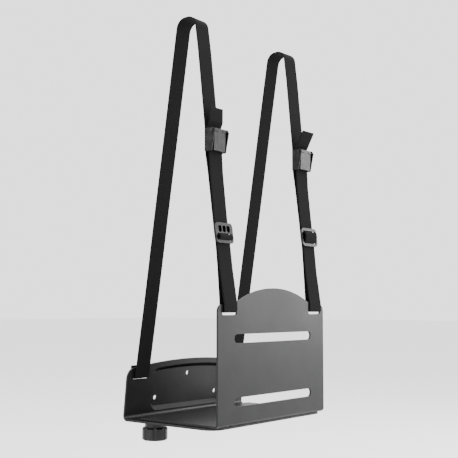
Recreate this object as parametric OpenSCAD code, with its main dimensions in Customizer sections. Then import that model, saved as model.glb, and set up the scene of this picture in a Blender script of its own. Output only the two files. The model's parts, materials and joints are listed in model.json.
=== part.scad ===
// Wall-mounted holder for a computer case. Two L-shaped steel brackets overlap under the case
// and slide on each other to set the width. Two webbing straps with cam buckles go over the top.
// The tray stands level. The wall plate leans a few degrees towards the tray.
// Tray frame: X along the plates, Y = 0 on the front plate's outer face, Z = 0 at its lower edge.

/* [Sheet metal] */
// Thickness of both steel brackets
sheet = 2.5; // [2:0.1:3]
// Inside radius of the front bracket's bend
front_bend_r = 2.2; // [1.5:0.1:4]
// Inside radius of the wall bracket's bend
wall_bend_r = 4; // [2:0.5:6]
// Clear gap between the two sliding floors
floor_gap = 0.4; // [0.2:0.1:1]

/* [Front bracket] */
// Width of the front bracket
front_w = 218; // [200:1:240]
// Height of the shoulders beside the dome
shoulder_h = 138; // [134:1:150]
// Height of the top of the dome
dome_h = 158; // [150:1:170]
// Radius of the dome
dome_r = 166; // [140:1:200]
// Radius of the shoulders' outer corners
shoulder_r = 9; // [3:1:12]
// Depth of the front bracket's floor, from the plate's outer face
front_floor_d = 130; // [110:1:134]
// Overall length of the two long slots
long_slot_w = 158; // [120:1:170]
// Height of the two long slots
long_slot_h = 10.6; // [6:0.2:16]
// Height of the centre of the lower long slot
low_slot_z = 22.8; // [16:0.2:30]
// Height of the centre of the upper long slot
high_slot_z = 97.2; // [80:0.2:105]

/* [Wall bracket] */
// Width of the wall bracket
wall_w = 232; // [220:1:250]
// Distance from the front plate's outer face to the wall plate's inner face
tray_d = 147.6; // [140:0.1:150]
// Lean of the wall plate towards the tray
lean = 6; // [0:0.5:10]
// Height of the middle of the wall plate's top edge, along the plate
wall_h = 66; // [62:1:80]
// Radius of the wall plate's arched top edge
wall_arch_r = 720; // [500:10:1500]
// Radius of the wall plate's outer corners
wall_corner_r = 14; // [6:1:20]
// Width of the pressed panel at its mouth
panel_w = 143.4; // [120:0.2:150]
// How far the panel is pressed towards the wall
panel_d = 5; // [3:0.5:7]
// Radius of the screw holes in the panel
screw_r = 3.1; // [2.5:0.1:3.5]
// Sideways distance from the middle to the two lower screw holes
screw_x = 59; // [40:1:62]
// Half the width that the floor loses from the wall to its front edge
floor_taper = 4; // [0:1:8]
// Radius of the floor's front corners
floor_corner_r = 18; // [8:1:24]

/* [Straps] */
// Width of the webbing
web_w = 25; // [20:1:26]
// Thickness of the webbing
web_t = 1.5; // [1:0.1:1.6]
// Sideways distance from the middle to each front strap slot
strap_x = 88; // [86:1:90]
// Angle by which each strap's plane turns outward towards the wall
strap_yaw = 2; // [0:0.5:3]
// Angle by which each strap's plane leans outward
strap_flare = 0.4; // [0:0.1:1]
// Height of the centre of the left slide
left_slide_z = 222; // [218:1:226]
// Height of the centre of the right slide
right_slide_z = 228; // [224:1:232]

/* [Clamp] */
// Radius of the clamp studs
stud_r = 4; // [3:0.5:5]
// Radius of the knobs
knob_r = 16; // [12:0.5:18]
// Number of grip flutes round a knob
knob_flutes = 8; // [6:1:12]
// Travel of the front bracket away from the wall
travel_out = 80; // [40:1:84]
// Travel of the front bracket towards the wall
travel_in = 10; // [0:1:12]

/* [Hidden] */
$fn = 96;
// Largest angle between neighbouring facets of a bend
bend_step = 8;

LEFT = -1;
RIGHT = 1;
steel_black = [0.17, 0.17, 0.18];
web_black = [0.06, 0.06, 0.065];
plastic_black = [0.09, 0.09, 0.09];
zinc_grey = [0.42, 0.42, 0.43];
bright_grey = [0.68, 0.68, 0.7];
brass = [0.72, 0.6, 0.35];

// Heights of the two floors, top faces first
front_floor_top = -front_bend_r;
front_floor_low = front_floor_top - sheet;
wall_floor_top = front_floor_low - floor_gap;
wall_floor_low = wall_floor_top - sheet;
wall_floor_front = 3.5;

// The mount: the middle of the pressed panel's wall-side face, this far up the leaning plate
mount_up = 30;
mount_back = panel_d + sheet;
mount_y = tray_d - mount_up * sin(lean) + mount_back * cos(lean);
mount_z = mount_up * cos(lean) + mount_back * sin(lean);

// Centre of the wall bracket's bend
wall_bend_z = wall_floor_top + wall_bend_r;
wall_bend_y = tray_d - (wall_bend_r + wall_bend_z * sin(lean)) / cos(lean);

// Strap slots
slot_w = web_w + 2;
front_slot_h = 4.8;
front_slot_z = 127.6;
wall_slot_h = 2.7;
wall_slot_z = 45.05;
wall_slot_x = 92.7;

// Height up the wall plate at which its outer corners end
wall_corner_h = 59;

// Pressed panel
panel_foot = 1;
panel_margin = 7;
panel_corner_r = 12;
low_screw_z = 16.6;
high_screw_z = 45.4;

// Clamp
stud_x = 92;
stud_y = 118;
stud_end = -25;
stud_head_r = 6.5;
stud_head_t = 1.4;
washer_t = 1.5;
washer_top = wall_floor_low - 0.1;
knob_top = washer_top - washer_t - 0.1;
knob_neck_r = 12.5;
knob_neck_z = knob_top - 5;
knob_low = -30;
insert_r = 6.5;
insert_low = knob_top - 15;

// Cam buckle, in the strap's own plane: Y towards the wall, Z up
ear_t = 1.2;
ear_x = web_w / 2 + 0.3;
ear_low = 320;
ear_top = 348;
ear_back = 26;
base_t = 1.2;
base_low = 332;
pin_y = 15.3;
pin_z = 344.8;
pin_r = 1.3;
bar_y = 23.1;
bar_z = 323;
bar_r = 1.6;
lever_x = 10.6;
cam_x = 4.2;
cam_r = 7.3;
hub_r = 3.1;
coil_r = 1.75;
wire_r = 0.3;

// Slide
slide_w = 33;
slide_h = 24.6;
slide_t = 2.4;
slide_rail = 3.2;
slide_bar = 3.6;
slide_lean = 7.8;
slide_y = 8.3;

// ---- helpers ----

// Draws 2D children given in (Y, Z), extruded along X by len and centred
module along_x(len) {
    translate([-len / 2, 0, 0]) rotate([90, 0, 90]) linear_extrude(len) children();
}

// Draws 2D children given in (X, Z) as a sheet from y towards +Y
module upright(y, t) {
    translate([0, y + t, 0]) rotate([90, 0, 0]) linear_extrude(t) children();
}

// A slot with round ends
module stadium(w, h) {
    square([w - h, h], center = true);
    for (s = [-1, 1]) translate([s * (w - h) / 2, 0]) circle(h / 2);
}

// What is cut from a corner at the origin, with the body towards +X +Y, to round it
module corner_cut(r) {
    difference() {
        translate([-1, -1]) square(r + 1);
        translate([r, r]) circle(r);
    }
}

// Puts children on the leaning wall plate: local Y = 0 is its inner face, Z runs up along it
module on_wall_plate() {
    translate([0, tray_d, 0]) rotate([lean, 0, 0]) children();
}

// Puts children in one strap's plane, X across the webbing
module strap_plane(side) {
    translate([side * strap_x, 0, front_slot_z])
        rotate([0, side * strap_flare, -side * strap_yaw])
            translate([0, 0, -front_slot_z]) children();
}

function turn(v) = [-v[1], v[0]];
function unit(v) = v / norm(v);
function bisect(a, b, c) = unit(unit(turn(b - a)) + unit(turn(c - b)));
function miter(a, b, c) = bisect(a, b, c) / (bisect(a, b, c) * unit(turn(b - a)));

// Rounds the corner b of the path a-b-c with radius r
function fillet(a, b, c, r) =
    let (u = unit(a - b), w = unit(c - b), half = acos(u * w) / 2,
        cut = r / tan(half), middle = b + unit(u + w) * r / sin(half),
        from = b + u * cut - middle, to = b + w * cut - middle,
        sweep = atan2(from[0] * to[1] - from[1] * to[0], from * to),
        steps = max(2, ceil(abs(sweep) / bend_step)))
    [for (i = [0:steps]) let (t = sweep * i / steps)
        middle + [from[0] * cos(t) - from[1] * sin(t), from[0] * sin(t) + from[1] * cos(t)]];

// Turns a route of [y, z, radius] into points; a radius of 0 keeps the corner
function corner(p, a, c) = p[2] > 0 ? fillet(a, [p[0], p[1]], c, p[2]) : [[p[0], p[1]]];
function flat(route, i) = [route[i][0], route[i][1]];
function smooth_open(route) = [
    flat(route, 0),
    for (i = [1:len(route) - 2]) each corner(route[i], flat(route, i - 1), flat(route, i + 1)),
    flat(route, len(route) - 1)];
function smooth_closed(route) = let (n = len(route)) [
    for (i = [0:n - 1]) each corner(route[i], flat(route, (i + n - 1) % n), flat(route, (i + 1) % n))];

function shift_open(p, d) = let (n = len(p)) [for (i = [0:n - 1])
    p[i] + d * (i == 0 ? unit(turn(p[1] - p[0]))
        : i == n - 1 ? unit(turn(p[n - 1] - p[n - 2])) : miter(p[i - 1], p[i], p[i + 1]))];
function shift_closed(p, d) = let (n = len(p)) [for (i = [0:n - 1])
    p[i] + d * miter(p[(i + n - 1) % n], p[i], p[(i + 1) % n])];
function reversed(p) = [for (i = [len(p) - 1:-1:0]) p[i]];

// Webbing along an open route
module web(route) {
    line = smooth_open(route);
    along_x(web_w)
        polygon(concat(shift_open(line, web_t / 2), reversed(shift_open(line, -web_t / 2))));
}

// Webbing along a closed route
module web_loop(route) {
    line = smooth_closed(route);
    along_x(web_w) difference() {
        polygon(shift_closed(line, web_t / 2));
        polygon(shift_closed(line, -web_t / 2));
    }
}

// ---- brackets ----

module front_outline() {
    difference() {
        union() {
            translate([-front_w / 2, 0]) square([front_w, shoulder_h]);
            intersection() {
                translate([0, dome_h - dome_r]) circle(dome_r, $fn = 240);
                translate([-front_w / 2, shoulder_h - 10]) square([front_w, dome_h]);
            }
        }
        for (s = [0, 1]) mirror([s, 0])
            translate([front_w / 2, shoulder_h]) mirror([1, 0]) mirror([0, 1]) corner_cut(shoulder_r);
        for (z = [low_slot_z, high_slot_z]) translate([0, z]) stadium(long_slot_w, long_slot_h);
        for (s = [LEFT, RIGHT]) translate([s * strap_x, front_slot_z]) stadium(slot_w, front_slot_h);
    }
}

module front_bend() {
    translate([0, front_bend_r + sheet, 0]) along_x(front_w) difference() {
        intersection() {
            circle(front_bend_r + sheet);
            translate([-20, -20]) square(20);
        }
        circle(front_bend_r);
    }
}

module front_floor() {
    start = front_bend_r + sheet;
    translate([0, 0, front_floor_low]) linear_extrude(sheet) difference() {
        translate([-front_w / 2, start]) square([front_w, front_floor_d - start]);
        for (s = [0, 1]) mirror([s, 0])
            translate([front_w / 2, front_floor_d]) mirror([1, 0]) mirror([0, 1]) corner_cut(5);
        for (s = [LEFT, RIGHT]) translate([s * stud_x, stud_y]) circle(stud_r + 0.03);
    }
}

module front_bracket() {
    color(steel_black) difference() {
        union() {
            upright(0, sheet) front_outline();
            front_bend();
            front_floor();
        }
        for (s = [LEFT, RIGHT]) translate([s * stud_x, stud_y, front_floor_top - stud_head_t - 0.02])
            cylinder(r = stud_head_r + 0.03, h = 5);
    }
}

// What is cut from the wall plate to give it an arched top and rounded corners
module wall_plate_cuts() {
    clear = 2;
    upright(-clear, sheet + 2 * clear) difference() {
        translate([-wall_w / 2 - clear, wall_h / 2]) square([wall_w + 2 * clear, wall_h]);
        translate([0, wall_h - wall_arch_r]) circle(wall_arch_r, $fn = 480);
    }
    for (s = [0, 1]) mirror([s, 0, 0])
        translate([wall_w / 2 - wall_corner_r, 0, wall_corner_h - wall_corner_r])
            upright(-clear, sheet + 2 * clear) difference() {
                square([wall_corner_r + clear, 2 * wall_corner_r]);
                circle(wall_corner_r);
            }
}

// Outline of the pressed panel, drawn in from its mouth by inset, with an arched top
module panel_outline(inset) {
    r = panel_corner_r - inset;
    half = panel_w / 2 - panel_corner_r;
    top = wall_h - panel_margin - inset;
    arch = wall_arch_r - panel_margin - inset;
    arch_steps = 12;
    hull() {
        for (s = [-1, 1]) translate([s * half, panel_foot + panel_corner_r]) circle(r, $fn = 40);
        for (s = [-1, 1])
            translate([s * half, top - arch + sqrt(arch * arch - half * half) - r]) circle(r, $fn = 40);
        polygon([for (i = [0:arch_steps]) let (x = half * (2 * i / arch_steps - 1))
            [x, top - arch + sqrt(arch * arch - x * x)]]);
    }
}

// The pressed panel as a solid dish: grow widens it for the outside of the sheet
module dish(grow, y_mouth, y_floor) {
    rim = 0.4;
    hull() {
        upright(y_mouth - rim, rim) panel_outline(-grow);
        upright(y_floor - rim, rim) panel_outline(panel_d - grow);
    }
}

module screw_places() {
    for (s = [-1, 1]) translate([s * screw_x, 0, low_screw_z]) children();
    translate([0, 0, high_screw_z]) children();
}

module wall_floor_outline() {
    half = wall_w / 2;
    front = half - floor_taper;
    depth = wall_bend_y - wall_floor_front;
    skew = atan(floor_taper / depth);
    // Centre of the rounded corner, and where its arc meets the sloping side
    cy = wall_floor_front + floor_corner_r;
    cx = front + floor_taper * floor_corner_r / depth - floor_corner_r / cos(skew);
    side_x = cx + floor_corner_r * cos(skew);
    side_y = cy - floor_corner_r * sin(skew);
    polygon([[-half, wall_bend_y], [-side_x, side_y], [-cx, wall_floor_front],
        [cx, wall_floor_front], [side_x, side_y], [half, wall_bend_y]]);
    for (s = [-1, 1]) translate([s * cx, cy]) circle(floor_corner_r);
}

// Floor, bend and wall plate as one folded sheet, before anything is cut from it
module wall_sheet() {
    middle = sheet / 2;
    floor_z = wall_floor_low + middle;
    h = wall_h + 4;
    top = [tray_d + middle * cos(lean) - h * sin(lean), middle * sin(lean) + h * cos(lean)];
    line = smooth_open([[wall_floor_front, floor_z, 0],
        [top[0] + (top[1] - floor_z) * tan(lean), floor_z, wall_bend_r + middle], [top[0], top[1], 0]]);
    along_x(wall_w)
        polygon(concat(shift_open(line, middle), reversed(shift_open(line, -middle))));
}

module wall_bracket() {
    skirt = 2;
    skin = sheet * tan(22.5);
    slot_back = stud_y + travel_in + stud_r + 2;
    slot_front = stud_y - travel_out - stud_r - 2;
    color(steel_black) difference() {
        union() {
            wall_sheet();
            on_wall_plate() dish(skin, sheet, sheet + panel_d);
        }
        on_wall_plate() {
            wall_plate_cuts();
            dish(0, 0, panel_d);
            screw_places() translate([0, -1, 0]) rotate([-90, 0, 0])
                cylinder(r = screw_r, h = panel_d + sheet + 2);
            for (s = [LEFT, RIGHT]) translate([s * wall_slot_x, -1, wall_slot_z])
                rotate([-90, 0, 0]) linear_extrude(sheet + 2) stadium(slot_w, wall_slot_h);
        }
        translate([0, 0, wall_floor_low - 1]) linear_extrude(sheet + 2) {
            difference() {
                translate([-wall_w / 2 - skirt, wall_floor_front - skirt])
                    square([wall_w + 2 * skirt, wall_bend_y - wall_floor_front + skirt]);
                wall_floor_outline();
            }
            for (s = [LEFT, RIGHT]) translate([s * stud_x, (slot_back + slot_front) / 2])
                rotate(90) stadium(slot_back - slot_front, 2 * stud_r + 1);
        }
    }
}

// ---- clamp ----

module at_stud(side) {
    translate([side * stud_x, stud_y, 0]) children();
}

module stud(side) {
    color(zinc_grey) at_stud(side) {
        translate([0, 0, stud_end]) cylinder(r = stud_r, h = front_floor_top - 0.2 - stud_end);
        translate([0, 0, front_floor_top - stud_head_t]) cylinder(r = stud_head_r, h = stud_head_t);
    }
}

module washer(side) {
    color(bright_grey) at_stud(side) translate([0, 0, washer_top - washer_t]) difference() {
        cylinder(r = 11, h = washer_t);
        translate([0, 0, -1]) cylinder(r = stud_r + 0.2, h = washer_t + 2);
    }
}

module knob(side) {
    edge = 1.6;
    color(plastic_black) at_stud(side) difference() {
        rotate_extrude() polygon([[0, knob_low], [knob_r - edge, knob_low], [knob_r, knob_low + edge],
            [knob_r, knob_neck_z - edge], [knob_r - edge, knob_neck_z], [knob_neck_r, knob_neck_z],
            [knob_neck_r, knob_top], [0, knob_top]]);
        for (i = [0:knob_flutes - 1]) rotate(360 / knob_flutes * i)
            translate([knob_r + 1.6, 0, knob_low - 1]) cylinder(r = 3.2, h = knob_neck_z - knob_low + 1.01);
        translate([0, 0, insert_low]) cylinder(r = insert_r + 0.03, h = 30);
        translate([0, 0, stud_end - 2]) cylinder(r = stud_r + 0.5, h = 30);
    }
}

module knob_insert(side) {
    color(brass) at_stud(side) translate([0, 0, insert_low]) difference() {
        cylinder(r = insert_r, h = knob_top - insert_low);
        translate([0, 0, -1]) cylinder(r = stud_r + 0.06, h = 30);
    }
}

// ---- cam buckles ----

module ear_outline() {
    difference() {
        polygon([[ear_back, ear_low], [ear_back, ear_top], [13, ear_top], [10.4, ear_top - 4],
            [15.4, ear_low]]);
        translate([pin_y, pin_z]) circle(pin_r + 0.05);
        translate([bar_y, bar_z]) circle(bar_r + 0.03);
    }
}

module buckle_body(side) {
    color(zinc_grey) strap_plane(side) {
        for (s = [-1, 1]) translate([s * (ear_x + ear_t / 2), 0, 0]) along_x(ear_t) ear_outline();
        translate([-ear_x - ear_t / 2, ear_back - base_t, base_low])
            cube([2 * ear_x + ear_t, base_t, ear_top - base_low]);
    }
}

module buckle_pin(side) {
    reach = ear_x + ear_t;
    color(bright_grey) strap_plane(side) translate([0, pin_y, pin_z]) rotate([0, 90, 0]) {
        translate([0, 0, -reach - 0.7]) cylinder(r = pin_r, h = 2 * reach + 1.4);
        for (z = [-reach - 0.75, reach + 0.05]) translate([0, 0, z]) cylinder(r = 2.2, h = 0.7);
    }
}

module buckle_bar(side) {
    reach = ear_x + ear_t;
    color(zinc_grey) strap_plane(side) translate([0, bar_y, bar_z]) rotate([0, 90, 0])
        translate([0, 0, -reach]) cylinder(r = bar_r, h = 2 * reach);
}

// Hub and toothed nose of the lever, in (Y, Z) about the pin
module cam_outline() {
    teeth = 4;
    union() {
        circle(hub_r);
        polygon([[0, hub_r], for (i = [0:teeth]) each [cam_r * [cos(6 * i), -sin(6 * i)],
            (cam_r - 0.7) * [cos(6 * i + 3), -sin(6 * i + 3)]], [0, -hub_r]]);
    }
}

module buckle_lever(side) {
    top = ear_top - 0.6;
    low = ear_low + 0.8;
    color(bright_grey) strap_plane(side) difference() {
        union() {
            along_x(2 * lever_x) polygon([[12.4, top], [13.8, top], [15.9, low], [14.5, low]]);
            for (s = [-1, 1]) translate([s * (lever_x + cam_x) / 2, pin_y, pin_z])
                along_x(lever_x - cam_x) cam_outline();
            for (s = [-1, 1]) translate([s * (lever_x - 0.6), 0, 0]) along_x(1.2)
                polygon([[13.4, top], [17, top - 4], [19, ear_low + 14], [17.4, low], [15.2, low]]);
        }
        translate([-20, pin_y, pin_z]) rotate([0, 90, 0]) cylinder(r = pin_r + 0.06, h = 40);
        // Room for the spring behind the face
        translate([-cam_x + 0.5, pin_y, pin_z]) rotate([0, 90, 0])
            cylinder(r = coil_r + wire_r + 0.15, h = 2 * cam_x - 1);
    }
}

// A close-wound spring round the pin, with one leg on the lever and one on the buckle's base
module lever_spring(side) {
    turns = 7;
    pitch = 1.85 * wire_r;
    end = (turns - 1) / 2 * pitch;
    color(bright_grey) strap_plane(side) translate([0, pin_y, pin_z]) {
        rotate([0, 90, 0]) rotate_extrude()
            for (i = [0:turns - 1]) translate([coil_r, i * pitch - end]) circle(wire_r, $fn = 16);
        translate([end, coil_r, -6]) cylinder(r = wire_r, h = 6);
        translate([-end, 0, -coil_r]) rotate([-90, 0, 0]) cylinder(r = wire_r, h = 6.5);
    }
}

// ---- slides ----

module at_slide(side, z) {
    strap_plane(side) translate([0, slide_y, z]) rotate([-slide_lean, 0, 0]) children();
}

module slide_ring() {
    r = 5;
    difference() {
        square([slide_w, slide_h], center = true);
        for (a = [0, 1], b = [0, 1]) mirror([a, 0]) mirror([0, b])
            translate([slide_w / 2, slide_h / 2]) mirror([1, 0]) mirror([0, 1]) corner_cut(r);
        square([slide_w - 2 * slide_rail, slide_h - 2 * slide_bar], center = true);
    }
}

// The left slide has a broad upper bar with three upright openings, and a low middle bar
module left_slide() {
    inner_w = slide_w - 2 * slide_rail;
    color(zinc_grey) at_slide(LEFT, left_slide_z) upright(-slide_t / 2, slide_t) {
        slide_ring();
        difference() {
            translate([-inner_w / 2 - 0.1, -0.6]) square([inner_w + 0.2, 10]);
            for (x = [-1, 0, 1]) translate([x * 7.8, 5.1]) rotate(90) stadium(9, 6);
        }
        translate([-inner_w / 2 - 0.1, -6.3]) square([inner_w + 0.2, 2.4]);
    }
}

module right_slide() {
    inner_w = slide_w - 2 * slide_rail;
    color(bright_grey) at_slide(RIGHT, right_slide_z) upright(-slide_t / 2, slide_t) {
        slide_ring();
        translate([-inner_w / 2 - 0.1, -1.3]) square([inner_w + 0.2, 2.6]);
    }
}

// ---- webbing ----

// Route of an upper strap: slot in the wall plate, top of the loop, round the buckle's base, tail
function upper_route(tail) = concat([
    [147.4, 44.6, 0], [141.3, 45.2, 1.2], [137.8, 68, 0], [120.7, 172, 0], [69.6, 490, 13],
    [42.8, 490, 13], [37.1, 447, 0], [30.4, 384, 0], [26.9, 351, 0],
    [26.85, base_low - 1.5, 1.4], [23.95, base_low - 1.5, 1.4], [23.95, 346.5, 3]], tail);

module upper_strap(side, tail) {
    color(web_black) strap_plane(side) {
        web(upper_route(tail));
        // Sewn fold that stops the end behind the wall plate
        along_x(web_w) polygon([[146.1, 44], [149.87, 44.4], [148.1, 61.1], [144.35, 60.7]]);
    }
}

// How each lower strap weaves through its slide, from below: [y, z from the slide's centre, radius]
left_weave = [[8.9, -13, 0], [9.75, -7.75, 1], [4.2, -7, 1.2], [4.6, -2.1, 1.2],
    [10.75, -2.65, 1], [12.4, 12.5, 0]];
right_weave = [[8.95, -13, 0], [9.8, -7.2, 1], [4.9, -6.2, 1.5], [4.3, 0.5, 3],
    [5, 6.4, 1.5], [11.95, 7.3, 1], [12.5, 12.5, 0]];

// Route of a lower strap: a closed loop from the front plate's slot, over the middle bar of the
// slide, round the buckle's bar and back down behind
function lower_route(z, weave) = concat(
    [[4.9, front_slot_z + 1.1, 1.2], [-1.6, front_slot_z + 1.1, 1.2], [-1.6, 138, 6], [5.4, 181, 30]],
    [for (p = weave) [p[0], z + p[1], p[2]]],
    [[13.1, z + 16, 0], [19.2, 296, 0],
    [20.45, 318, 0], [20.45, bar_z + 2.65, 2.5], [25.75, bar_z + 2.65, 2.5], [25.75, 318, 0],
    [22.2, 296, 0], [14.9, z + 16, 0], [12.9, z, 0], [10.7, z - 13, 0], [8, 181, 0],
    [5.2, 142, 0]]);

module lower_strap(side, z, weave) {
    color(web_black) strap_plane(side) web_loop(lower_route(z, weave));
}

// The origin is at the mount, on the wall side of the pressed panel
translate([0, -mount_y, -mount_z]) {
    wall_bracket();
    front_bracket();
    stud(LEFT);  // left_stud
    stud(RIGHT);  // right_stud
    washer(LEFT);  // left_washer
    washer(RIGHT);  // right_washer
    knob(LEFT);  // left_knob
    knob(RIGHT);  // right_knob
    knob_insert(LEFT);  // left_knob_insert
    knob_insert(RIGHT);  // right_knob_insert
    upper_strap(LEFT, [[19.2, 357, 8], [19, 374, 0]]);  // left_upper_strap
    upper_strap(RIGHT, [[19, 354, 8], [9, 372.5, 0]]);  // right_upper_strap
    lower_strap(LEFT, left_slide_z, left_weave);  // left_lower_strap
    lower_strap(RIGHT, right_slide_z, right_weave);  // right_lower_strap
    buckle_body(LEFT);  // left_buckle_body
    buckle_body(RIGHT);  // right_buckle_body
    buckle_lever(LEFT);  // left_buckle_lever
    buckle_lever(RIGHT);  // right_buckle_lever
    buckle_pin(LEFT);  // left_buckle_pin
    buckle_pin(RIGHT);  // right_buckle_pin
    buckle_bar(LEFT);  // left_buckle_bar
    buckle_bar(RIGHT);  // right_buckle_bar
    lever_spring(LEFT);  // left_lever_spring
    lever_spring(RIGHT);  // right_lever_spring
    left_slide();
    right_slide();
}
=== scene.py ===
"""Wall-mounted computer case holder: webbing straps, materials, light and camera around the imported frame."""

import json
import math

import bmesh
import bpy
from mathutils import Matrix, Vector


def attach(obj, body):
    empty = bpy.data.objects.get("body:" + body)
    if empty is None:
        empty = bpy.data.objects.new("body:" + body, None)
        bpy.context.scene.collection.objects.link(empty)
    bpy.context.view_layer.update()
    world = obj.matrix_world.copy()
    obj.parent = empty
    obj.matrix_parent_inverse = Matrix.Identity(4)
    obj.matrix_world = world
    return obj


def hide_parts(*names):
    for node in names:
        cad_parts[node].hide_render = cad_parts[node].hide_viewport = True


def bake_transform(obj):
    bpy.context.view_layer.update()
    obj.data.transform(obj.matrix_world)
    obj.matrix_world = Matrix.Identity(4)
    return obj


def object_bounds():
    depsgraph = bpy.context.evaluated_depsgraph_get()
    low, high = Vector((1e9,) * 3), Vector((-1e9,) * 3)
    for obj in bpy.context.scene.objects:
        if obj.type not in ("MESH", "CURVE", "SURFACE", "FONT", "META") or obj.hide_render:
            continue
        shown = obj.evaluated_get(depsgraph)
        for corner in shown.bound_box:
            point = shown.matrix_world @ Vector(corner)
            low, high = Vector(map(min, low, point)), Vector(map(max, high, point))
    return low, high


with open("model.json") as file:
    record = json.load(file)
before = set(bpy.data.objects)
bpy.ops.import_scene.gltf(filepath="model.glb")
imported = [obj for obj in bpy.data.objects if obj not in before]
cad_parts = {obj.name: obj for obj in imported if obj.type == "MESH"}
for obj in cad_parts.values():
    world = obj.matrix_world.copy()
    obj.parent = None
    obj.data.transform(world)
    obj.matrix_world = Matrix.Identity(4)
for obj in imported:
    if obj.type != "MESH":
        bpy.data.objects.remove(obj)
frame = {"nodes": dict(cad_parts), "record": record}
cad_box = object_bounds()

MM = 0.001
SIDES = {"left": -1, "right": 1}

# The tray frame is in millimetres, with Y = 0 on the front plate and Z = 0 at its lower edge
TRAY_DEPTH = 147.6
LEAN = math.radians(6)
# The mount: this far up the leaning wall plate, and this far behind its inner face
MOUNT_UP = 30
MOUNT_BACK = 7.5
MOUNT_Y = TRAY_DEPTH - MOUNT_UP * math.sin(LEAN) + MOUNT_BACK * math.cos(LEAN)
MOUNT_Z = MOUNT_UP * math.cos(LEAN) + MOUNT_BACK * math.sin(LEAN)

# Each strap lies in a plane through the front plate's slot, turned and flared a little outward
STRAP_X = 88
FRONT_SLOT_Z = 127.6
STRAP_YAW = math.radians(2)
STRAP_FLARE = math.radians(0.4)

# Webbing: its section, one cell of the weave across and along, and how far its yarns stand out
WEB_W = 25.0
WEB_T = 1.5
COLUMNS = 22
PICK_X = WEB_W / COLUMNS
PICK_Y = 1.25
WEAVE = 0.06
# The selvedge is rounded over this width, from this share of the half thickness
SELVEDGE = 0.12
SELVEDGE_SHARE = 0.62
# Loose webbing wanders sideways, this far either way, over this length along it
WANDER = 0.12
WANDER_LENGTH = 37


def row(p):
    """A point of the tray frame in the row frame, in metres."""
    return Vector((p[0], p[1] - MOUNT_Y, p[2] - MOUNT_Z)) * MM


def strap_matrix(side):
    """From one strap's own plane, in millimetres, to the row frame."""
    turn = Matrix.Rotation(-side * STRAP_YAW, 4, "Z") @ Matrix.Rotation(
        side * STRAP_FLARE, 4, "Y"
    )
    place = Matrix.Translation((side * STRAP_X, 0, FRONT_SLOT_Z))
    back = Matrix.Translation((0, 0, -FRONT_SLOT_Z))
    to_row = Matrix.Scale(MM, 4) @ Matrix.Translation((0, -MOUNT_Y, -MOUNT_Z))
    return to_row @ place @ turn @ back


# ---- materials ----


class Shader:
    """A Principled material that is put together node by node."""

    def __init__(self, name, **sockets):
        self.material = bpy.data.materials.new(name)
        self.material.use_nodes = True
        self.tree = self.material.node_tree
        self.bsdf = self.tree.nodes["Principled BSDF"]
        for key, value in sockets.items():
            self.bsdf.inputs[key.replace("_", " ")].default_value = value

    def node(self, kind, **settings):
        """A new node. Each setting is one of its properties or, failing that, an input."""
        made = self.tree.nodes.new(kind)
        for key, value in settings.items():
            if hasattr(made, key):
                setattr(made, key, value)
            else:
                made.inputs[key.replace("_", " ")].default_value = value
        return made

    def link(self, a, out, b, into):
        self.tree.links.new(a.outputs[out], b.inputs[into])

    def noise(self, scale, detail=3, roughness=0.5, stretch=(1, 1, 1)):
        """Noise in the object's own coordinates."""
        where = self.node("ShaderNodeTexCoord")
        mapping = self.node("ShaderNodeMapping")
        mapping.inputs["Scale"].default_value = stretch
        made = self.node("ShaderNodeTexNoise", Scale=scale, Detail=detail, Roughness=roughness)
        self.link(where, "Object", mapping, "Vector")
        self.link(mapping, "Vector", made, "Vector")
        return made

    def ramp(self, source, out, low, high, dark, light):
        """Base colour that runs from dark, where the source is at low, to light at high."""
        made = self.node("ShaderNodeValToRGB")
        for element, at, colour in zip(made.color_ramp.elements, (low, high), (dark, light)):
            element.position = at
            element.color = (*colour, 1)
        self.link(source, out, made, "Fac")
        self.link(made, "Color", self.bsdf, "Base Color")

    def spread(self, source, out, low, high):
        """The source's 0 to 1 carried to low to high."""
        made = self.node("ShaderNodeMapRange")
        made.inputs["To Min"].default_value = low
        made.inputs["To Max"].default_value = high
        self.link(source, out, made, "Value")
        return made

    def gloss(self, source, low, high):
        """Roughness that varies between low and high with a noise."""
        self.link(self.spread(source, "Fac", low, high), "Result", self.bsdf, "Roughness")

    def bump(self, source, out, strength, distance):
        """Adds a bump on top of those made before it."""
        made = self.node("ShaderNodeBump", Strength=strength, Distance=distance)
        self.link(source, out, made, "Height")
        previous = self.bsdf.inputs["Normal"].links
        if previous:
            self.tree.links.new(previous[0].from_socket, made.inputs["Normal"])
        self.link(made, "Normal", self.bsdf, "Normal")


def coated_steel(name, dark, light, roughness):
    """Powder coat: fine orange peel, a faint mottle, and dust that dulls the gloss in patches."""
    s = Shader(name, Specular_IOR_Level=0.16)
    s.ramp(s.noise(38, detail=6, roughness=0.6), "Fac", 0.35, 0.7, dark, light)
    s.gloss(s.noise(14, detail=4), roughness - 0.07, roughness + 0.09)
    s.bump(s.noise(1400, detail=2), "Fac", strength=0.22, distance=0.00012)
    s.bump(s.noise(420, detail=1), "Fac", strength=0.12, distance=0.0002)
    return s.material


def plated_metal(name, dark, light, roughness):
    """Plated pressed steel: fine rolling grain, and brightness that varies in soft patches."""
    s = Shader(name, Metallic=1.0)
    s.ramp(s.noise(160, detail=5, roughness=0.62), "Fac", 0.3, 0.72, dark, light)
    s.gloss(s.noise(300, detail=3), roughness - 0.08, roughness + 0.1)
    grain = s.noise(900, detail=2, stretch=(1, 1, 6))
    s.bump(grain, "Fac", strength=0.16, distance=0.0001)
    return s.material


def moulded_plastic(name, dark, light):
    """Glass-filled nylon: spark-eroded grain and slightly polished high spots."""
    s = Shader(name, Specular_IOR_Level=0.22)
    s.ramp(s.noise(220, detail=4), "Fac", 0.3, 0.75, dark, light)
    s.gloss(s.noise(90, detail=3), 0.3, 0.46)
    s.bump(s.noise(1700, detail=2), "Fac", strength=0.3, distance=0.00012)
    return s.material


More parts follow.
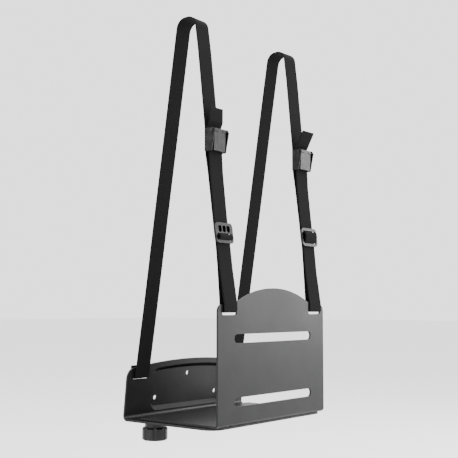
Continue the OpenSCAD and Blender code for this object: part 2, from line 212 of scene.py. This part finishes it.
def turned_brass(name, dark, light):
    """Brass with fine turning marks round its axis."""
    s = Shader(name, Metallic=1.0)
    s.ramp(s.noise(120), "Fac", 0.3, 0.7, dark, light)
    s.gloss(s.noise(200), 0.25, 0.42)
    s.bump(s.noise(1100, stretch=(1, 1, 12)), "Fac", strength=0.15, distance=0.0001)
    return s.material


def woven_webbing(name, dark, light):
    """Polyester webbing. UV is in metres, U across and V along, in step with the mesh's weave."""
    s = Shader(
        name,
        Sheen_Weight=0.03,
        Sheen_Roughness=0.4,
        Roughness=0.88,
        Specular_IOR_Level=0.05,
    )
    where = s.node("ShaderNodeTexCoord")
    parts = s.node("ShaderNodeSeparateXYZ")
    s.link(where, "UV", parts, "Vector")

    def wave(axis, pitch):
        scale = s.node("ShaderNodeMath", operation="MULTIPLY")
        s.link(parts, axis, scale, 0)
        scale.inputs[1].default_value = math.pi / pitch
        sine = s.node("ShaderNodeMath", operation="SINE")
        s.link(scale, "Value", sine, 0)
        return sine

    # The sign of one wave times the other gives the over and under of a plain weave
    cell = s.node("ShaderNodeMath", operation="MULTIPLY")
    s.link(wave("X", PICK_X * MM), "Value", cell, 0)
    s.link(wave("Y", PICK_Y * MM), "Value", cell, 1)
    level = s.spread(cell, "Value", 0, 1)
    level.inputs["From Min"].default_value = -1
    fibre = s.noise(2600, detail=3, roughness=0.7, stretch=(1, 1, 0.25))
    mix = s.node("ShaderNodeMath", operation="MULTIPLY_ADD")
    s.link(fibre, "Fac", mix, 0)
    mix.inputs[1].default_value = 0.5
    s.link(level, "Result", mix, 2)
    s.ramp(mix, "Value", 0.25, 1.25, dark, light)
    s.bump(mix, "Value", strength=0.5, distance=0.00012)
    s.bump(fibre, "Fac", strength=0.25, distance=0.00008)
    return s.material


coat = coated_steel("powder_coat", (0.004, 0.004, 0.0043), (0.007, 0.007, 0.0073), 0.38)
zinc = plated_metal("zinc_plate", (0.009, 0.009, 0.0093), (0.019, 0.019, 0.0194), 0.46)
nickel = plated_metal("nickel_plate", (0.017, 0.017, 0.0173), (0.028, 0.028, 0.0284), 0.36)
plastic = moulded_plastic("moulded_knob", (0.0015, 0.0015, 0.0016), (0.004, 0.004, 0.0042))
brass = turned_brass("turned_brass", (0.5, 0.36, 0.15), (0.64, 0.49, 0.24))
webbing = woven_webbing("webbing", (0.001, 0.001, 0.0011), (0.0065, 0.0065, 0.0068))

FINISH = {
    "bracket": coat,
    "webbing": webbing,
    "buckle_metal": zinc,
    "bright_metal": nickel,
    "knob_plastic": plastic,
    "insert_brass": brass,
}

# Pressed and moulded edges are never sharp: a small bevel, in millimetres, catches the light
EDGE = {
    "wall_bracket": 0.35,
    "front_bracket": 0.35,
    "slide": 0.6,
    "buckle_body": 0.25,
    "buckle_lever": 0.3,
    "knob": 0.5,
    "washer": 0.25,
    "stud": 0.3,
}
EDGE_ANGLE = math.radians(40)

for part in frame["record"]["subparts"]:
    node = frame["nodes"][part["node"]]
    node.data.materials.clear()
    node.data.materials.append(FINISH[part["material_slot"]])
    for polygon in node.data.polygons:
        polygon.use_smooth = True
    width = max([w for key, w in EDGE.items() if part["node"].endswith(key)], default=0)
    if width:
        bevel = node.modifiers.new("edge", "BEVEL")
        bevel.width = width * MM
        bevel.segments = 2
        bevel.limit_method = "ANGLE"
        bevel.angle_limit = EDGE_ANGLE
        bevel.use_clamp_overlap = True
        bevel.harden_normals = True


# ---- webbing ----


def fillet(a, b, c, r):
    """Points that round the corner b of a-b-c with radius r."""
    a, b, c = Vector(a), Vector(b), Vector(c)
    if r <= 0:
        return [b]
    u, w = (a - b).normalized(), (c - b).normalized()
    half = math.acos(max(-1, min(1, u.dot(w)))) / 2
    if abs(half - math.pi / 2) < 1e-4:
        return [b]
    cut = r / math.tan(half)
    middle = b + (u + w).normalized() * (r / math.sin(half))
    start, end = b + u * cut - middle, b + w * cut - middle
    sweep = math.atan2(start.x * end.y - start.y * end.x, start.dot(end))
    steps = max(2, math.ceil(abs(sweep) / math.radians(6)))
    return [middle + Matrix.Rotation(sweep * i / steps, 2) @ start for i in range(steps + 1)]


def smooth(route, closed):
    """A route's (Y, Z, bend radius) points as one line with its bends rounded."""
    points = []
    n = len(route)
    for i, (y, z, r) in enumerate(route):
        if not closed and i in (0, n - 1):
            points.append(Vector((y, z)))
            continue
        points += fillet(route[i - 1][:2], (y, z), route[(i + 1) % n][:2], r)
    return points + ([points[0]] if closed else [])


def resample(points, step):
    """Evenly spaced points along a line, and the length between them. Their count is odd."""
    lengths = [0.0]
    for a, b in zip(points, points[1:]):
        lengths.append(lengths[-1] + (b - a).length)
    count = max(2, 2 * round(lengths[-1] / step / 2))
    made, i = [], 0
    for k in range(count + 1):
        at = lengths[-1] * k / count
        while i < len(lengths) - 2 and lengths[i + 1] < at:
            i += 1
        share = (at - lengths[i]) / max(1e-9, lengths[i + 1] - lengths[i])
        made.append(points[i].lerp(points[i + 1], share))
    return made, lengths[-1] / count


def section():
    """The webbing's outline across its width: (x, height, share of the weave)."""
    half_w, half_t = WEB_W / 2, WEB_T / 2 - WEAVE
    inner, shoulder = half_w - SELVEDGE, half_t * SELVEDGE_SHARE
    top = [(-half_w + PICK_X * (i + 0.5), half_t, 1.0) for i in range(COLUMNS)]
    right = [(inner, shoulder, 0), (half_w, 0, 0), (inner, -shoulder, 0)]
    low = [(-x, -z, -1.0) for x, z, _ in top]
    left = [(-x, -z, -w) for x, z, w in right]
    return top + right + low + left


def strap(name, side, route, closed=False):
    """A woven band along a route in the strap's plane. Every vertex is a crossing of its weave."""
    line, step = resample(smooth(route, closed), PICK_Y)
    if closed:
        line = line[:-1]
    n, outline = len(line), section()
    to_row = strap_matrix(side)
    vertices, uvs, faces = [], [], []
    for i, p in enumerate(line):
        before = line[i - 1] if closed or i else line[0]
        after = line[(i + 1) % n] if closed or i < n - 1 else line[-1]
        along = (after - before).normalized()
        normal = Vector((-along.y, along.x))
        wander = WANDER * math.sin(i * PICK_Y / WANDER_LENGTH + side)
        for j, (x, height, share) in enumerate(outline):
            over = WEAVE * share * (1 if (i + j) % 2 else -1)
            q = p + normal * (height + over)
            vertices.append(to_row @ Vector((x + wander, q.x, q.y)))
            uvs.append((x * MM, i * step * MM))
    m = len(outline)
    for i in range(n if closed else n - 1):
        here, ahead = i * m, (i + 1) % n * m
        for j in range(m):
            beside = (j + 1) % m
            faces.append((here + j, here + beside, ahead + beside, ahead + j))
    if not closed:
        faces.append(tuple(reversed(range(m))))
        faces.append(tuple(range((n - 1) * m, n * m)))
    return woven_piece(name, vertices, faces, uvs)


def woven_piece(name, vertices, faces, uvs):
    """A piece of webbing as a Blender object, with every face pointing out."""
    mesh = bpy.data.meshes.new(name)
    mesh.from_pydata([tuple(v) for v in vertices], [], faces)
    layer = mesh.uv_layers.new(name="UVMap")
    for loop in mesh.loops:
        layer.data[loop.index].uv = uvs[loop.vertex_index]
    mesh.materials.append(webbing)
    mesh.validate()
    for polygon in mesh.polygons:
        polygon.use_smooth = True
    bm = bmesh.new()
    bm.from_mesh(mesh)
    bmesh.ops.recalc_face_normals(bm, faces=bm.faces)
    bm.to_mesh(mesh)
    bm.free()
    made = bpy.data.objects.new(name, mesh)
    bpy.context.scene.collection.objects.link(made)
    return made


# Routes are (Y, Z, bend radius) in each strap's plane, in the tray frame's millimetres.
# The upper strap: through the wall plate, over the top, behind the buckle's base, round its
# lower edge and up between cam and base. Its tail differs from side to side.
UPPER_ROUTE = [
    (147.4, 44.6, 0), (141.3, 45.2, 1.4), (137.8, 68, 40), (120.7, 172, 0),
    (69.6, 490, 13), (42.8, 490, 13), (37.1, 447, 120), (30.4, 384, 120),
    (26.9, 351, 30), (26.85, 330.5, 1.4), (23.95, 330.5, 1.4), (23.95, 346.5, 6),
]
UPPER_TAIL = {"left": [(19.2, 357, 8), (19, 374, 0)], "right": [(19, 354, 8), (9, 372.5, 0)]}

# The folded, sewn end behind the wall plate: down, round and up again
FOLD = [(148.2, 60.9, 0), (149.05, 44.9, 0.95), (147.25, 44.7, 0.95), (145.3, 60.3, 0)]

# Where the slides and the buckles' fixed bars are, and how the webbing passes each slide
SLIDE_Z = {"left": 222, "right": 228}
BAR_Z = 323
WEAVES = {
    "left": [
        (8.9, -13, 0), (9.75, -7.75, 1), (4.2, -7, 1.2), (3.6, -4.4, 3),
        (4.6, -2.1, 1.2), (10.75, -2.65, 1), (12.4, 12.5, 0),
    ],
    "right": [
        (8.95, -13, 0), (9.8, -7.2, 1), (4.9, -6.2, 1.5), (4.1, 0.5, 6),
        (5, 6.4, 1.5), (11.95, 7.3, 1), (12.5, 12.5, 0),
    ],
}


def lower_route(name):
    """The lower loop: round the front plate's slot, through the slide and round the fixed bar."""
    z = SLIDE_Z[name]
    slot_top, bar_top = FRONT_SLOT_Z + 1.1, BAR_Z + 2.65
    slot = [(4.9, slot_top, 1.2), (-1.6, slot_top, 1.2), (-1.6, 138, 14), (5.4, 181, 60)]
    slide = [(y, z + up, r) for y, up, r in WEAVES[name]]
    bar = [
        (13.1, z + 16, 0), (19.2, 296, 60), (20.45, 318, 0), (20.45, bar_top, 2.5),
        (25.75, bar_top, 2.5), (25.75, 318, 0), (22.2, 296, 60), (14.9, z + 16, 60),
    ]
    back = [(12.9, z, 60), (10.7, z - 13, 60), (8, 181, 60), (5.2, 142, 40)]
    return slot + slide + bar + back


for name, side in SIDES.items():
    upper = strap(f"{name}_upper_webbing", side, UPPER_ROUTE + UPPER_TAIL[name])
    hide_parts(f"{name}_upper_strap")
    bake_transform(upper)
    fold = strap(f"{name}_sewn_stopper", side, FOLD)
    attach(fold, "wall")
    lower = strap(f"{name}_lower_webbing", side, lower_route(name), closed=True)
    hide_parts(f"{name}_lower_strap")
    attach(lower, "front")


# ---- floor, light, camera ----

# Place and size in metres, power in watts; each light faces the object's middle
LIGHTS = {
    "key": ((1.05, -0.85, 0.5), (0.7, 1.0), 26),
    "top": ((-0.2, -0.3, 1.7), (1.4, 1.4), 28),
    "fill": ((-1.7, 0.2, 0.7), (1.2, 1.4), 30),
}
WORLD_STRENGTH = 2.2
WHITE = (1, 1, 1, 1)
FLOOR_HALF = 15.0
FLOOR_DROP = 0.12
FLOOR_GREY = (0.86, 0.86, 0.86, 1)
# The camera, with its place in the tray frame
CAMERA_AT = (-841.62, -628.48, 134.92)
CAMERA_UP = math.radians(4.069)
CAMERA_PAN = math.radians(-50.127)
LENS = 65.618
SHIFT_UP = 0.04

centre = (cad_box[0] + cad_box[1]) / 2
for name, (at, size, power) in LIGHTS.items():
    data = bpy.data.lights.new(name, "AREA")
    data.shape = "RECTANGLE"
    data.size, data.size_y = size
    data.energy = power
    light = bpy.data.objects.new(name, data)
    light.location = at
    light.rotation_euler = (centre - Vector(at)).to_track_quat("-Z", "Y").to_euler()
    bpy.context.scene.collection.objects.link(light)

world = bpy.data.worlds.new("studio")
world.use_nodes = True
background = world.node_tree.nodes["Background"]
background.inputs["Color"].default_value = WHITE
background.inputs["Strength"].default_value = WORLD_STRENGTH
bpy.context.scene.world = world

corners = [(-1, -1), (1, -1), (1, 1), (-1, 1)]
floor_mesh = bpy.data.meshes.new("floor")
floor_mesh.from_pydata([(x * FLOOR_HALF, y * FLOOR_HALF, 0) for x, y in corners], [], [(0, 1, 2, 3)])
floor_mesh.materials.append(Shader("pale_floor", Base_Color=FLOOR_GREY, Roughness=0.8).material)
floor = bpy.data.objects.new("floor", floor_mesh)
floor.location.z = cad_box[0].z - FLOOR_DROP
bpy.context.scene.collection.objects.link(floor)

camera_data = bpy.data.cameras.new("camera")
camera_data.sensor_fit = "HORIZONTAL"
camera_data.sensor_width = 36
camera_data.lens = LENS
camera_data.shift_y = SHIFT_UP
camera_data.clip_start, camera_data.clip_end = 0.01, 50
camera = bpy.data.objects.new("camera", camera_data)
camera.location = row(CAMERA_AT)
camera.rotation_euler = (math.radians(90) + CAMERA_UP, 0, CAMERA_PAN)
bpy.context.scene.collection.objects.link(camera)
bpy.context.scene.camera = camera
